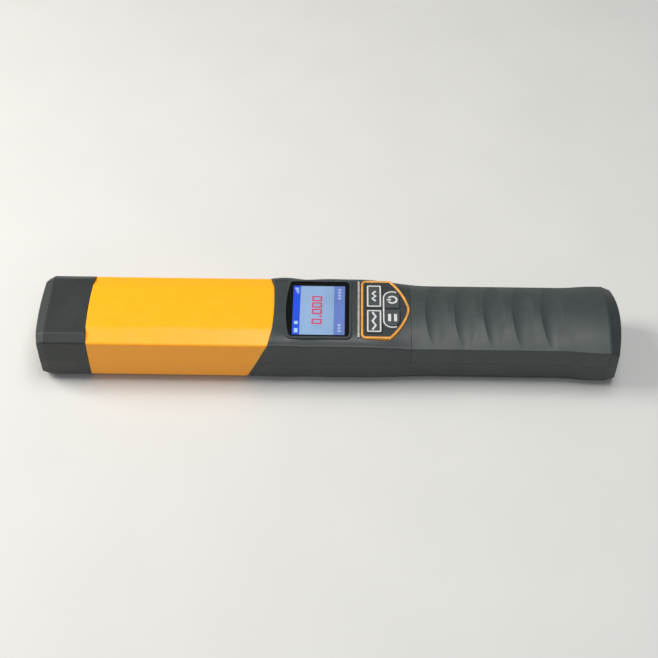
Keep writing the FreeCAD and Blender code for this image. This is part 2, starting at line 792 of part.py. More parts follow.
# ---- screen stack ----
def panel_outline():
    """The display panel's outline, a little larger than its lit area."""
    half = screen_width / 2 + panel_margin
    return rectangle(screen_x0 - panel_margin, screen_x1 + panel_margin, -half, half, 0.5)


def screen_parts():
    """The rim, the window, the printed mask, the gasket, the panel and its holder."""
    seat = mask_bottom
    rim = window_block(rim_width, seat, lid_z + rim_proud).cut(window_block(0.05, seat - 1, lid_z + 2))
    rim = soften(rim, 0.25, lid_z + rim_proud)
    window = window_block(0, window_bottom, window_top)
    active = rectangle(screen_x0 - 0.2, screen_x1 + 0.2, -screen_width / 2 - 0.2, screen_width / 2 + 0.2, 0.3)
    mask = window_block(0, mask_bottom, window_bottom).cut(plate_xy(active, mask_bottom - 1, window_bottom + 1))
    ring_in = rectangle(screen_x0 - 0.6, screen_x1 + 0.6, -screen_width / 2 - 0.6, screen_width / 2 + 0.6, 0.4)
    outline = panel_outline()
    gasket = plate_xy(outline, gasket_bottom, gasket_top).cut(
        plate_xy(ring_in, gasket_bottom - 1, gasket_top + 1))
    panel = plate_xy(outline, panel_bottom, gasket_bottom)
    holder = plate_xy(outline, board_top, panel_bottom).cut(
        plate_xy(grown(outline, -1.4), board_top - 1, panel_bottom - 0.8))
    return {"screen_rim": rim, "screen_window": window, "screen_mask": mask, "screen_gasket": gasket,
            "display_panel": panel, "display_holder": holder}


def soften(shape, radius, z):
    """Rounds the edges that lie at a height."""
    edges = [e for e in shape.Edges if all(abs(v.Z - z) < FLAT for v in e.Vertexes)]
    return shape.makeFillet(radius, edges)


# ---- keypad ----
def keypad_parts():
    """The orange border, the dark plate, the four keys and their snap domes."""
    border = shield(border_width, plate_bottom, lid_z + border_proud).cut(
        shield(0.05, plate_bottom - 1, lid_z + 2))
    border = soften(border, 0.3, lid_z + border_proud)
    plate = shield(0, plate_bottom, plate_top)
    for outline in KEYS.values():
        plate = plate.cut(plate_xy(grown(outline, key_gap), plate_bottom - 1, plate_top + 1))
    parts = {"keypad_border": border, "keypad_plate": plate}
    for name, outline in KEYS.items():
        cap = plate_xy(outline, flange_bottom, key_top)
        cap = soften(cap, 0.4, key_top)
        rim = plate_xy(grown(outline, flange_rim), flange_bottom, flange_top)
        x, y = middle(outline)
        stem = boss(x, y, stem_radius, stem_bottom, flange_bottom)
        parts[name] = join([cap, rim, stem])
        parts["dome_" + name[4:]] = snap_dome(x, y)
    return parts


def snap_dome(x, y):
    """A thin round metal dome on the board that clicks and returns a key."""
    radius = (dome_radius ** 2 + dome_height ** 2) / (2 * dome_height)
    ball = Part.makeSphere(radius, Vector(x, y, board_top + dome_height - radius))
    core = Part.makeSphere(radius - dome_metal, Vector(x, y, board_top + dome_height - radius))
    zone = boss(x, y, dome_radius + 1, board_top, board_top + 3)
    return ball.cut(core).common(zone)


def trim_bar():
    """The bright bar between the screen and the keypad."""
    bar = box(trim_x, trim_x + trim_width, -trim_length / 2, trim_length / 2, lid_z - trim_depth,
              lid_z + trim_proud)
    return soften(bar, 0.35, lid_z + trim_proud)


# ---- electronics ----
def board_outline(x0, x1, half, keep_clear):
    """A board's plate, notched round the posts that pass it."""
    plate = plate_xy(rectangle(x0, x1, -half, half, 1.0), board_bottom, board_top)
    for x, y, radius in keep_clear:
        plate = plate.cut(boss(x, y, radius, board_bottom - 1, board_top + 1))
    return plate


def main_board():
    """The main circuit board."""
    posts = [(x, y, boss_radius + 0.5) for x, y in both_sides(shell_screws)]
    board = board_outline(board_x0, board_x1, board_half, posts)
    for x, y in both_sides(board_screws):
        board = board.cut(boss(x, y, 1.15, board_bottom - 1, board_top + 1))
    return biggest(board)


def board_chips():
    """The larger components under the main board."""
    spots = [(-12, 5, 10, 10, 1.4), (2, -7, 12, 8, 1.6), (16, 9, 7, 7, 1.2), (30, -8, 9, 6, 1.8),
             (44, 7, 6, 10, 2.4), (46, -9, 5, 5, 1.0), (-4, -14, 4, 3, 1.0), (20, -2, 3, 6, 1.0)]
    return Part.makeCompound([
        box(sleeve_x + 18 + x - w / 2, sleeve_x + 18 + x + w / 2, y - d / 2, y + d / 2,
            board_bottom - h, board_bottom) for x, y, w, d, h in spots])


def pan_screw(x, y, head_z, tip_z, head_radius, shank_radius, head_height):
    """A cross-recess screw driven upwards from its head."""
    head = boss(x, y, head_radius, head_z - head_height, head_z)
    recess = box(x - head_radius * 0.62, x + head_radius * 0.62, y - 0.25, y + 0.25,
                 head_z - head_height - 1, head_z - head_height * 0.45)
    across = recess.copy()
    across.rotate(Vector(x, y, 0), Vector(0, 0, 1), 90)
    shank = boss(x, y, shank_radius, head_z, tip_z)
    return head.fuse(shank).cut(recess).cut(across)


def fasteners():
    """The casing, board and nose cap screws, each kind as one group."""
    long_ones = [pan_screw(x, y, foot_z(x) + 6.0 - 0.02, belt_z + 8.0, screw_head, screw_shank, screw_head_height)
                 for x, y in both_sides(shell_screws)]
    small = [pan_screw(x, y, board_bottom, board_top + 2.4, 1.7, 0.8, 1.1) for x, y in both_sides(board_screws)]
    cap_ones = [pan_screw(cap_screw_x, s * cap_screw_half, 1.08, neck_inset + 5.0, 2.1, 0.8, 0.95)
                for s in (1, -1)]
    return {"shell_screws": Part.makeCompound(long_ones), "board_screws": Part.makeCompound(small),
            "nose_cap_screws": Part.makeCompound(cap_ones)}


def front_parts():
    """The sensor, its pump, their board and the short hoses between them."""
    board = box(sensor_board_x0, sensor_board_x1, -15, 15, sensor_board_top - 1.6, sensor_board_top)
    rails = Part.makeCompound([
        box(sensor_board_x0, sensor_board_x1, s * 12.5 - 1, s * 12.5 + 1, neck_cavity, sensor_board_top - 1.6)
        for s in (1, -1)])
    shoulder = sensor_board_top + sensor_height
    cell = boss(sensor_x, 0, sensor_radius, sensor_board_top, shoulder)
    cell = cell.fuse(boss(sensor_x, 0, sensor_radius - 1.5, shoulder, shoulder + sensor_cap_height))
    cell = cell.cut(rod(1.6, (sensor_x - 14, 0, duct_z), (1, 0, 0), 12))
    head = box(pump_x - 5, pump_x + 4, -pump_half, pump_half, sensor_board_top, sensor_board_top + pump_height)
    nipple = rod(1.5, (pump_x - 8, 0, duct_z), (1, 0, 0), 3.0)
    motor = rod(motor_radius, (pump_x + 4, 0, sensor_board_top + pump_height / 2), (1, 0, 0), motor_length)
    hose_start = sensor_x + sensor_radius
    hose = tube_x(hose_start, pump_x - 5, hose_outer, hose_bore)
    inlet = tube_x(cap_x + 1.5, sensor_x - sensor_radius, hose_outer + 0.2, hose_bore)
    return {"sensor_board": join([board]), "board_rails": rails, "sensor_cell": cell,
            "sample_pump": head.fuse(nipple), "pump_motor": motor, "pump_hose": hose.cut(nipple),
            "inlet_hose": inlet}


def tube_x(x0, x1, outer, inner):
    """A straight tube along the body at the duct's height."""
    return rod(outer, (x0, 0, duct_z), (1, 0, 0), x1 - x0).cut(rod(inner, (x0 - 1, 0, duct_z), (1, 0, 0), x1 - x0 + 2))


def strip(path, half):
    """A flat ribbon of even thickness along a path of (x, z) corners in the middle plane."""
    thickness = 0.35
    points = [Vector(x, -half, z) for x, z in path]
    edges = rounded_edges(points, [0] + [2.0] * (len(path) - 2) + [0], closed=False)
    first = points[1] - points[0]
    side = Vector(-first.z, 0, first.x).normalize() * (thickness / 2)
    profile = Part.makePolygon([points[0] - side, points[0] + side, points[0] + side + Vector(0, 2 * half, 0),
                                points[0] - side + Vector(0, 2 * half, 0), points[0] - side])
    return Part.Wire(edges).makePipeShell([profile], True, False)


def ribbons():
    """The flat cable from the sensor board to the main board."""
    start_x = sensor_board_x1
    z0 = sensor_board_top - 0.8
    z1 = board_bottom + board_thickness / 2
    path = [(start_x, z0), (start_x + 6, z0), (board_x0 - 7, z1), (board_x0, z1)]
    return {"sensor_ribbon": strip(path, 4.0)}


def power_parts():
    """The battery tray, the cells, their springs and contacts."""
    x0 = bay_x0 - tray_wall
    x1 = bay_x1 + tray_wall
    half = bay_half + tray_wall
    outer = box(x0, x1, -half, half, inner_floor + 0.1, tray_top + tray_wall)
    room = box(bay_x0, bay_x1, -bay_half, bay_half, 0, tray_top)
    tray = outer.cut(room)
    cells = []
    for s in (1, -1):
        y = s * (cell_radius + cell_gap / 2)
        body = rod(cell_radius, (cell_x0 + 1, y, cell_z), (1, 0, 0), cell_length - 1)
        cells.append(body.fuse(rod(2.7, (cell_x0, y, cell_z), (1, 0, 0), 1.2)))
    contacts = []
    springs = []
    for s in (1, -1):
        y = s * (cell_radius + cell_gap / 2)
        contacts.append(box(bay_x0, bay_x0 + contact_thickness, y - 4, y + 4, cell_z - 4, cell_z + 4))
        contacts.append(box(bay_x1 - contact_thickness, bay_x1, y - 5, y + 5, cell_z - 5, cell_z + 5))
        springs.append(contact_spring(y))
    return {"battery_tray": tray, "battery_cells": Part.makeCompound(cells),
            "battery_contacts": Part.makeCompound(contacts), "battery_springs": Part.makeCompound(springs)}


def contact_spring(y):
    """A short coil of six-sided wire between a cell's flat end and its contact."""
    x0 = cell_x1
    x1 = bay_x1 - contact_thickness
    height = x1 - x0 - 2 * spring_wire
    helix = Part.makeHelix(height / spring_turns, height, spring_radius)
    corners = [Vector(spring_radius + spring_wire * math.cos(math.radians(a)), 0,
                      spring_wire * math.sin(math.radians(a))) for a in range(0, 361, 60)]
    coil = Part.Wire(helix).makePipeShell([Part.makePolygon(corners)], True, True)
    coil.rotate(Vector(0, 0, 0), Vector(0, 1, 0), 90)
    coil.translate(Vector(x0 + spring_wire, y, cell_z))
    return coil


def battery_door():
    """The hinged door under the cells: a plate, a round hinge edge with two pins, and a latch tongue."""
    slab = box(hinge_x, door_x1, -door_half, door_half, floor_z, floor_z + door_lip)
    edge = rod(hinge_radius, (hinge_x, -door_half, hinge_z), (0, 1, 0), 2 * door_half)
    pins = rod(hinge_pin_radius, (hinge_x, -door_half - 2.0, hinge_z), (0, 1, 0), 2 * door_half + 4.0)
    finger = Part.makeSphere(9.0, Vector(door_x1 - 6.5, 0, floor_z - 8.2))
    tongue = box(door_x1 - 4.0, door_x1 - 2.6, -4.0, 4.0, floor_z + door_lip, floor_z + door_lip + 2.4)
    ribs = [box(hinge_x + 8, door_x1 - 6, s * 6 - 0.5, s * 6 + 0.5, floor_z + door_lip, floor_z + door_lip + 0.3)
            for s in (1, -1)]
    return join([slab, edge, pins, tongue] + ribs).cut(finger)


def tail_parts():
    """The charging socket, its little board, the rubber cover and the strap bar."""
    inner_x = bevel_x - 0.7
    body_x0 = inner_x - 10.5
    body = box(body_x0, inner_x, -4.6, 4.6, socket_z - 4.4, socket_z + 4.4)
    nose = rod(socket_bore + 0.35, (inner_x, 0, socket_z), (1, 0, 0), face_x - inner_x - 0.1)
    bore = rod(socket_bore - 0.05, (face_x - socket_depth, 0, socket_z), (1, 0, 0), 20)
    board = box(body_x0 - 3, inner_x, -11, 11, socket_z - 4.4 - 1.6, socket_z - 4.4)
    bar = rod(strap_bar_radius, (strap_x, -strap_pocket_width / 2 - 2.4, strap_z), (0, 1, 0),
              strap_pocket_width + 4.8)
    return {"charge_socket": body.fuse(nose).cut(bore), "charge_board": board, "port_cover": port_cover(),
            "strap_bar": bar}


def port_cover():
    """The rubber cover over the charging socket. It swings down on two pins at its lower, rounded edge."""
    half_thick = cover_thickness / 2
    plate = box(cover_x0, cover_x0 + cover_thickness, -cover_half, cover_half, cover_pivot_z,
                cover_z0 + cover_height)
    edge = rod(half_thick, (cover_pivot_x, -cover_half, cover_pivot_z), (0, 1, 0), cover_length)
    pins = rod(cover_pin_radius, (cover_pivot_x, -cover_half - 1.3, cover_pivot_z), (0, 1, 0), cover_length + 2.6)
    plug = rod(socket_bore - 0.5, (cover_x0 - 1.2, 0, socket_z), (1, 0, 0), 1.4)
    notch = rod(1.2, (cover_x0 + cover_thickness + 0.5, -2.5, cover_z0 + cover_height - 1.8), (0, 1, 0), 5.0)
    return join([plate, edge, pins, plug]).cut(notch)


def build():
    """Every piece of the wand, by name."""
    outer = outer_body()
    parts = {"upper_shell": upper_shell(outer), "lower_shell": lower_shell(outer), "grip_skin": grip_skin(outer),
             "yellow_sleeve": yellow_sleeve(), "nose_cap": nose_cap(), "intake_grille": intake_grille(),
             "sampling_duct": sampling_duct(), "trim_bar": trim_bar(), "main_board": main_board(),
             "board_chips": board_chips(), "battery_door": battery_door(),
             "buzzer": boss(buzzer_x, 0, buzzer_radius, wall + 0.1, wall + 0.1 + buzzer_height)}
    for group in (screen_parts(), keypad_parts(), fasteners(), front_parts(), ribbons(), power_parts(),
                  tail_parts()):
        parts.update(group)
    return parts


os.makedirs("parts", exist_ok=True)
for node, shape in build().items():
    shape.exportStep(f"parts/{node}.step")
    print(node, "solids", len(shape.Solids), "valid", shape.isValid(), "volume", round(shape.Volume, 1))
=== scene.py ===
"""Finishes, prints and lit screen of a hand-held wand tester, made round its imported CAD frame."""

import json
import math

import bmesh
import bpy
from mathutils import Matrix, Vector

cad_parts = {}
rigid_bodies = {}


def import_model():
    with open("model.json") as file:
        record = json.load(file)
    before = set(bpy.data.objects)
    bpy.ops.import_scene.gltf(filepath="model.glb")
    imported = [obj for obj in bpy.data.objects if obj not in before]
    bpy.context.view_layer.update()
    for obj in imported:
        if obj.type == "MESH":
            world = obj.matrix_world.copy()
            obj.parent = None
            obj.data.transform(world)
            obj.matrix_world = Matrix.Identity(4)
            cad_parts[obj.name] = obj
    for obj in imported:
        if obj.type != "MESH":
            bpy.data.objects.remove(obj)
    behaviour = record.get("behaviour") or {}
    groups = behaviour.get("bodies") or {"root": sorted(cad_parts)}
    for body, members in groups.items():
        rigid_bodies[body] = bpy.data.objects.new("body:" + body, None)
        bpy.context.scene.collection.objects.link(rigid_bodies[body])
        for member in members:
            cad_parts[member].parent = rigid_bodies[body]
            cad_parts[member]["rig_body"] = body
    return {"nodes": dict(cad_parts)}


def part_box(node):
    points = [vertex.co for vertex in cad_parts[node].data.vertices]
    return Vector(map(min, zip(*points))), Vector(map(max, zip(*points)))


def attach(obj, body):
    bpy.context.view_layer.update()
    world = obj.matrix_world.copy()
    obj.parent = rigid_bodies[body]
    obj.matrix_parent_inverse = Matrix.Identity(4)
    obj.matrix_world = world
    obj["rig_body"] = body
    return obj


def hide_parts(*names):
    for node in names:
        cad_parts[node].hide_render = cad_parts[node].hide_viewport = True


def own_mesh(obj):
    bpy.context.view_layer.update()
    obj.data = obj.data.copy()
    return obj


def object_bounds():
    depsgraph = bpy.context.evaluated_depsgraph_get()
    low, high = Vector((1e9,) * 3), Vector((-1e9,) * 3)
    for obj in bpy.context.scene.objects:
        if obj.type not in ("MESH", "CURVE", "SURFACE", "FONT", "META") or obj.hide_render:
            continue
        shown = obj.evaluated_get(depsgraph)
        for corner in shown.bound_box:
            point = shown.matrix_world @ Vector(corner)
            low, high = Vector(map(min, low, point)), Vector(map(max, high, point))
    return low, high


bl_info = {
    "name": "Wand Tester Finish",
    "version": (1, 0, 0),
    "blender": (4, 5, 0),
    "location": "3D View > Sidebar > Wand",
    "description": "Gives a wand tester its materials, printed marks, lit screen and studio",
    "category": "Object",
}

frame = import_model()
CAD_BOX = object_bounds()
NODES = frame["nodes"]
MM = 0.001
SINK = 0.02 * MM  # how far a printed mark reaches into its key or plate
LAYER = 0.03 * MM  # from one layer of the lit picture to the next
GLOW = 0.84  # strength of the lit picture
FLOOR_RADIUS = 6.0
SKY_STRENGTH = 0.24
LIGHTS = (  # name, place, width, height, power, colour
    ("softbox_left", (-0.75, 0.12, 0.66), 0.45, 0.6, 9.5, "#FFFBF4"),
    ("softbox_top", (0.15, 0.0, 1.1), 0.7, 0.4, 6.5, "#FFFFFF"),
    ("softbox_front", (0.12, -0.78, 1.02), 0.8, 0.25, 2.3, "#F4F8FF"),
)


def linear(code):
    """A colour's linear values from its sRGB hex code."""
    channels = [int(code[i:i + 2], 16) / 255 for i in (1, 3, 5)]
    return tuple(c / 12.92 if c <= 0.04045 else ((c + 0.055) / 1.055) ** 2.4 for c in channels)


def colour_property(name, description, code):
    """A colour that the user can change."""
    return bpy.props.FloatVectorProperty(name=name, description=description, subtype="COLOR", size=3, min=0.0,
                                         max=1.0, default=linear(code))


def length_property(name, description, millimetres):
    """A length that the user can change."""
    return bpy.props.FloatProperty(name=name, description=description, unit="LENGTH", subtype="DISTANCE",
                                   min=0.0, precision=5, default=millimetres * MM)


class WandColours(bpy.types.PropertyGroup):
    """Colours of the wand's visible pieces."""
    casing: colour_property("Casing", "Hard black plastic of the shells", "#2A3132")
    # Painted shade: the nose cap's black is a darker copy of the casing's, standing for the light falling off
    # towards the nose.
    cap: colour_property("Nose cap", "Hard black plastic of the nose cap", "#1D2424")
    sleeve: colour_property("Sleeve", "Bright plastic of the sleeve", "#FFA500")
    grip: colour_property("Grip", "Soft skin of the grip", "#323A39")
    border: colour_property("Keypad border", "Border round the keypad", "#E3A046")
    keys: colour_property("Keys", "Rubber of the keys", "#3C4142")
    ink: colour_property("Marks", "Printed marks on and round the keys", "#C6CAC6")
    field: colour_property("Screen field", "Lit background of the screen", "#9CBAE2")
    bar: colour_property("Status bar", "Lit bar at the screen's top", "#0052EE")
    menu: colour_property("Menu bar", "Lit bar at the screen's foot", "#6C86D2")
    reading: colour_property("Reading", "Lit digits of the reading", "#E04468")
    floor: colour_property("Floor", "The studio's floor", "#C9C9C6")


class WandSizes(bpy.types.PropertyGroup):
    """Sizes of the prints and of the lit picture."""
    ink_thickness: length_property("Ink", "Thickness of a printed mark", 0.06)
    line_width: length_property("Lines", "Width of the printed outlines", 0.75)
    key_rim: length_property("Key rim", "How far a key's hidden flange reaches past its top", 0.45)
    panel_margin: length_property("Panel margin", "How far the display panel reaches past its lit area", 1.7)
    status_width: length_property("Status bar", "Width of the screen's status bar", 3.9)
    menu_width: length_property("Menu bar", "Width of the screen's menu bar", 5.9)
    digit_height: length_property("Digits", "Height of the reading's digits", 4.6)


# ---- shader helpers ----
def add_node(tree, kind, inputs=None, **settings):
    """Adds a node with its settings. Each input is a value, or a socket to link from."""
    made = tree.nodes.new(kind)
    for name, value in settings.items():
        setattr(made, name, value)
    for name, value in (inputs or {}).items():
        if isinstance(value, bpy.types.NodeSocket):
            tree.links.new(value, made.inputs[name])
        else:
            made.inputs[name].default_value = value
    return made


def rgba(colour, gain=1.0):
    """A colour with its alpha, made lighter or darker by a gain."""
    return (*(min(1.0, c * gain) for c in colour[:3]), 1.0)


def surface(name, colour, roughness, ior=1.5, **sockets):
    """A new material with a Principled shader. Returns the material, its tree and the shader."""
    made = bpy.data.materials.new(name)
    made.use_nodes = True
    tree = made.node_tree
    shader = next(n for n in tree.nodes if n.type == "BSDF_PRINCIPLED")
    shader.inputs["Base Color"].default_value = rgba(colour)
    shader.inputs["Roughness"].default_value = roughness
    shader.inputs["IOR"].default_value = ior
    for label, value in sockets.items():
        shader.inputs[label.replace("_", " ").title()].default_value = value
    return made, tree, shader


def patches(tree, size, low=0.0, high=1.0, detail=2.0):
    """Random patches of a width in millimetres, as a value that runs from low to high."""
    place = add_node(tree, "ShaderNodeTexCoord").outputs["Object"]
    raw = add_node(tree, "ShaderNodeTexNoise", {"Vector": place, "Scale": 1 / (size * MM), "Detail": detail})
    even = add_node(tree, "ShaderNodeMapRange", {
        "Value": raw.outputs["Fac"], "From Min": 0.35, "From Max": 0.65, "To Min": low, "To Max": high})
    return even.outputs["Result"]


def uneven(tree, shader, gloss_size, gloss, colour_size, first, second):
    """Lets a surface's roughness and its colour wander, each in patches of its own width in millimetres."""
    tree.links.new(patches(tree, gloss_size, gloss[0], gloss[1], 4.0), shader.inputs["Roughness"])
    tint = add_node(tree, "ShaderNodeMix", {0: patches(tree, colour_size, detail=3.0), 6: first, 7: second},
                    data_type="RGBA")
    tree.links.new(tint.outputs[2], shader.inputs["Base Color"])
    return tint.outputs[2]


def moulded(name, colour, roughness, ior, grain, depth, edge, mottle, wear_and_highlight,
            wear_and_highlight_tint=(0.16, 0.16, 0.16), **sockets):
    """A moulded surface: grain in relief, uneven gloss and colour, and softened edges painted lighter, partly
    as real rubbing and partly as a painted highlight.

    Grain is the width of its bumps, depth their height and edge the rounding of the edges, in millimetres.
    Mottle is the share by which its colour varies, and wear_and_highlight how much of the tint the edges
    take, partly for real rubbing and partly as a painted highlight.
    """
    made, tree, shader = surface(name, colour, roughness, ior, **sockets)
    soft = add_node(tree, "ShaderNodeBevel", {"Radius": edge * MM}, samples=4).outputs["Normal"]
    relief = add_node(tree, "ShaderNodeBump", {
        "Height": patches(tree, grain), "Distance": depth * MM, "Normal": soft})
    tree.links.new(relief.outputs["Normal"], shader.inputs["Normal"])
    patchy = uneven(tree, shader, 11.0, (roughness - 0.03, roughness + 0.04), 5.0, rgba(colour, 1 - mottle),
                    rgba(colour, 1 + mottle))
    # Painted highlight, with some real rubbing: at every edge, where the rounded normal turns from the true
    # one, the colour is lightened towards the tint.
    straight = add_node(tree, "ShaderNodeNewGeometry").outputs["Normal"]
    turned = add_node(tree, "ShaderNodeVectorMath", {0: soft, 1: straight}, operation="DOT_PRODUCT")
    wear_and_highlight_mask = add_node(tree, "ShaderNodeMapRange", {
        "Value": turned.outputs["Value"], "From Min": 0.86, "From Max": 0.985, "To Min": wear_and_highlight, "To Max": 0.0})
    wear_and_highlight_colour = rgba([c * 0.7 + top for c, top in zip(colour, wear_and_highlight_tint)])
    shade = add_node(tree, "ShaderNodeMix", {0: wear_and_highlight_mask.outputs["Result"], 6: patchy, 7: wear_and_highlight_colour},
                     data_type="RGBA")
    tree.links.new(shade.outputs[2], shader.inputs["Base Color"])
    return made


# ---- materials: what each is, and what that gives the eye ----
def abs_textured_black(name, colour):
    """Moulded ABS with a spark-eroded mould's grain: a dark grey that takes a soft, broad sheen.

    The grain is about 0.1 mm wide, and is drawn 0.7 mm wide so that it shows.
    """
    return moulded(name, colour, roughness=0.45, ior=1.54, grain=0.7, depth=0.006, edge=0.5, mottle=0.05,
                   wear_and_highlight=0.35)


def abs_smooth_yellow(colour):
    """Moulded ABS from a polished mould: an even amber with clear highlights, and a little light inside."""
    # Painted highlight: a strong share of a bright yellow edge tint paints the rims lighter, standing for the
    # light they catch, with a little real rubbing.
    return moulded("ABS smooth moulded yellow", colour, roughness=0.36, ior=1.54, grain=0.9, depth=0.001,
                   edge=0.8, mottle=0.015, wear_and_highlight=0.6, wear_and_highlight_tint=(0.3, 0.36, 0.02), subsurface_weight=0.06,
                   subsurface_scale=0.002)


def tpe_grip(colour):
    """Overmoulded soft thermoplastic: duller than the casing, with a faint bloom at a slant."""
    return moulded("TPE overmoulded black", colour, roughness=0.5, ior=1.5, grain=0.8, depth=0.006, edge=0.5,
                   mottle=0.06, wear_and_highlight=0.22, sheen_weight=0.1, sheen_roughness=0.4)


def silicone_key(colour):
    """Moulded silicone rubber with a matt lacquer: dark grey and soft."""
    return moulded("Silicone moulded keys", colour, roughness=0.5, ior=1.43, grain=0.5, depth=0.003, edge=0.3,
                   mottle=0.08, wear_and_highlight=0.12)


def abs_painted_orange(colour):
    """Moulded ABS under metallic lacquer: orange with a faint glitter."""
    return moulded("ABS lacquered orange", colour, roughness=0.36, ior=1.5, grain=0.35, depth=0.002,
                   edge=0.25, mottle=0.12, wear_and_highlight=0.1, metallic=0.25)


def moulded_plain(name, code, roughness=0.45):
    """A plain moulded plastic for inner parts, evenly coloured."""
    return moulded(name, linear(code), roughness, ior=1.54, grain=0.8, depth=0.003, edge=0.3, mottle=0.06,
                   wear_and_highlight=0.1)


def chrome_plated():
    """Satin chrome plate on ABS: silvery, with blurred reflections."""
    made, tree, shader = surface("ABS satin chrome plated", linear("#CFCFC8"), 0.48, metallic=1.0)
    uneven(tree, shader, 1.2, (0.42, 0.54), 4.0, rgba(linear("#C6C6BE")), rgba(linear("#D8D8D2")))
    soft = add_node(tree, "ShaderNodeBevel", {"Radius": 0.3 * MM}, samples=4)
    tree.links.new(soft.outputs["Normal"], shader.inputs["Normal"])
    return made


def metal(name, code, roughness, grain):
    """A plain metal with fine scratches, whose width is in millimetres."""
    colour = linear(code)
    made, tree, shader = surface(name, colour, roughness, metallic=1.0)
    gloss = (roughness - 0.08, roughness + 0.1)
    uneven(tree, shader, grain, gloss, 2.5, rgba(colour, 0.92), rgba(colour, 1.05))
    relief = add_node(tree, "ShaderNodeBump", {
        "Height": patches(tree, grain, detail=5.0), "Distance": 0.001 * MM})
    tree.links.new(relief.outputs["Normal"], shader.inputs["Normal"])
    return made


def pmma_window():
    """Cast acrylic, polished: clear, with sharp reflections and a few faint wipe marks."""
    made, tree, shader = surface("PMMA cast window", linear("#F2F5F6"), 0.03, 1.49, transmission_weight=1.0)
    uneven(tree, shader, 7.0, (0.015, 0.05), 20.0, rgba(linear("#EFF3F4")), rgba(linear("#F5F8F9")))
    return made


def printed(name, colour, patch, fade):
    """Printed ink: opaque and nearly even. Patches of a width in millimetres are a little thinner."""
    made, tree, shader = surface(name, colour, 0.4, 1.5)
    uneven(tree, shader, patch, (0.35, 0.48), patch, rgba(colour, 1 - fade), rgba(colour, 1 + fade / 2))
    return made


def lit(name, colour, strength):
    """Light through a colour filter of the display: glows nearly evenly, as its lamps lie at one side."""
    made, tree, shader = surface(name, [c * 0.25 for c in colour], 0.3, 1.5)
    glow = add_node(tree, "ShaderNodeMix", {
        0: patches(tree, 16.0, detail=1.0), 6: rgba(colour, 0.93), 7: rgba(colour, 1.07)}, data_type="RGBA")
    tree.links.new(glow.outputs[2], shader.inputs["Emission Color"])
    shader.inputs["Emission Strength"].default_value = strength
    return made


def fr4_board():
    """Glass-epoxy board under green solder mask: glossy, with copper tracks that show as paler lines."""
    made, tree, shader = surface("FR4 solder masked", linear("#1D5B38"), 0.28, 1.55)
    place = add_node(tree, "ShaderNodeTexCoord").outputs["Object"]
    tracks = add_node(tree, "ShaderNodeTexBrick", {
        "Vector": place, "Color1": rgba(linear("#174A2E")), "Color2": rgba(linear("#1B5434")),
        "Mortar": rgba(linear("#3F8A58")), "Scale": 1.0, "Mortar Size": 0.28 * MM, "Brick Width": 6.1 * MM,
        "Row Height": 1.3 * MM}, offset=0.37)
    tree.links.new(tracks.outputs["Color"], shader.inputs["Base Color"])
    relief = add_node(tree, "ShaderNodeBump", {"Height": tracks.outputs["Fac"], "Distance": 0.03 * MM})
    tree.links.new(relief.outputs["Normal"], shader.inputs["Normal"])
    return made


def pvc_cell_wrap():
    """Shrunk PVC film over steel cells: glossy blue, with a pale band near the positive end."""
    blue = linear("#20518C")
    made, tree, shader = surface("PVC shrink film", blue, 0.25, 1.53)
    place = add_node(tree, "ShaderNodeTexCoord").outputs["Object"]
    along = add_node(tree, "ShaderNodeSeparateXYZ", {"Vector": place}).outputs["X"]
    band_width, blur = 9.0 * MM, 0.3 * MM
    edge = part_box("battery_cells")[0].x + band_width
    band = add_node(tree, "ShaderNodeMapRange", {
        "Value": along, "From Min": edge, "From Max": edge + blur, "To Min": 1.0, "To Max": 0.0})
    shade = add_node(tree, "ShaderNodeMix", {
        0: band.outputs["Result"], 6: rgba(blue), 7: rgba(linear("#C9CDD2"))}, data_type="RGBA")
    tree.links.new(shade.outputs[2], shader.inputs["Base Color"])
    relief = add_node(tree, "ShaderNodeBump", {"Height": patches(tree, 2.2), "Distance": 0.008 * MM})
    tree.links.new(relief.outputs["Normal"], shader.inputs["Normal"])
    return made


def silicone_hose():
    """Extruded silicone: milky and half clear."""
    made, tree, shader = surface("Silicone extruded", linear("#DCDDD6"), 0.35, 1.43, transmission_weight=0.5)
    uneven(tree, shader, 1.6, (0.28, 0.45), 3.0, rgba(linear("#D2D3CC")), rgba(linear("#E2E3DC")))
    return made


def painted_floor(colour):
    """Matt emulsion on board: pale, with a trace of roller stipple, drawn 3 mm wide so that it shows."""
    made, tree, shader = surface("Emulsion rolled floor", colour, 0.75, 1.45)
    uneven(tree, shader, 30.0, (0.7, 0.8), 60.0, rgba(colour, 0.985), rgba(colour, 1.01))
    relief = add_node(tree, "ShaderNodeBump", {"Height": patches(tree, 3.0), "Distance": 0.003 * MM})
    tree.links.new(relief.outputs["Normal"], shader.inputs["Normal"])
    return made


def dress(material, *names):
    """Gives CAD nodes a material."""
    for name in names:
        slots = NODES[name].data.materials
        slots.clear()
        slots.append(material)


# ---- mesh helpers ----
def arc(cx, cy, radius, start, end, steps=10):
    """Points on an arc, with its angles in degrees."""
    angles = [math.radians(start + (end - start) * k / steps) for k in range(steps + 1)]
    return [(cx + radius * math.cos(angle), cy + radius * math.sin(angle)) for angle in angles]


def rounded_rectangle(x0, x1, y0, y1, radius):
    """The outline of a rectangle with round corners."""
    west, east, south, north = x0 + radius, x1 - radius, y0 + radius, y1 - radius
    return (arc(east, north, radius, 0, 90) + arc(west, north, radius, 90, 180)
            + arc(west, south, radius, 180, 270) + arc(east, south, radius, 270, 360))


def add_slab(bm, outline, z0, z1):
    """A flat solid from one outline."""
    low = [bm.verts.new((x, y, z0)) for x, y in outline]
    high = [bm.verts.new((x, y, z1)) for x, y in outline]
    bm.faces.new(high)
    bm.faces.new(list(reversed(low)))
    for k in range(len(outline)):
        j = (k + 1) % len(outline)
        bm.faces.new((low[k], low[j], high[j], high[k]))


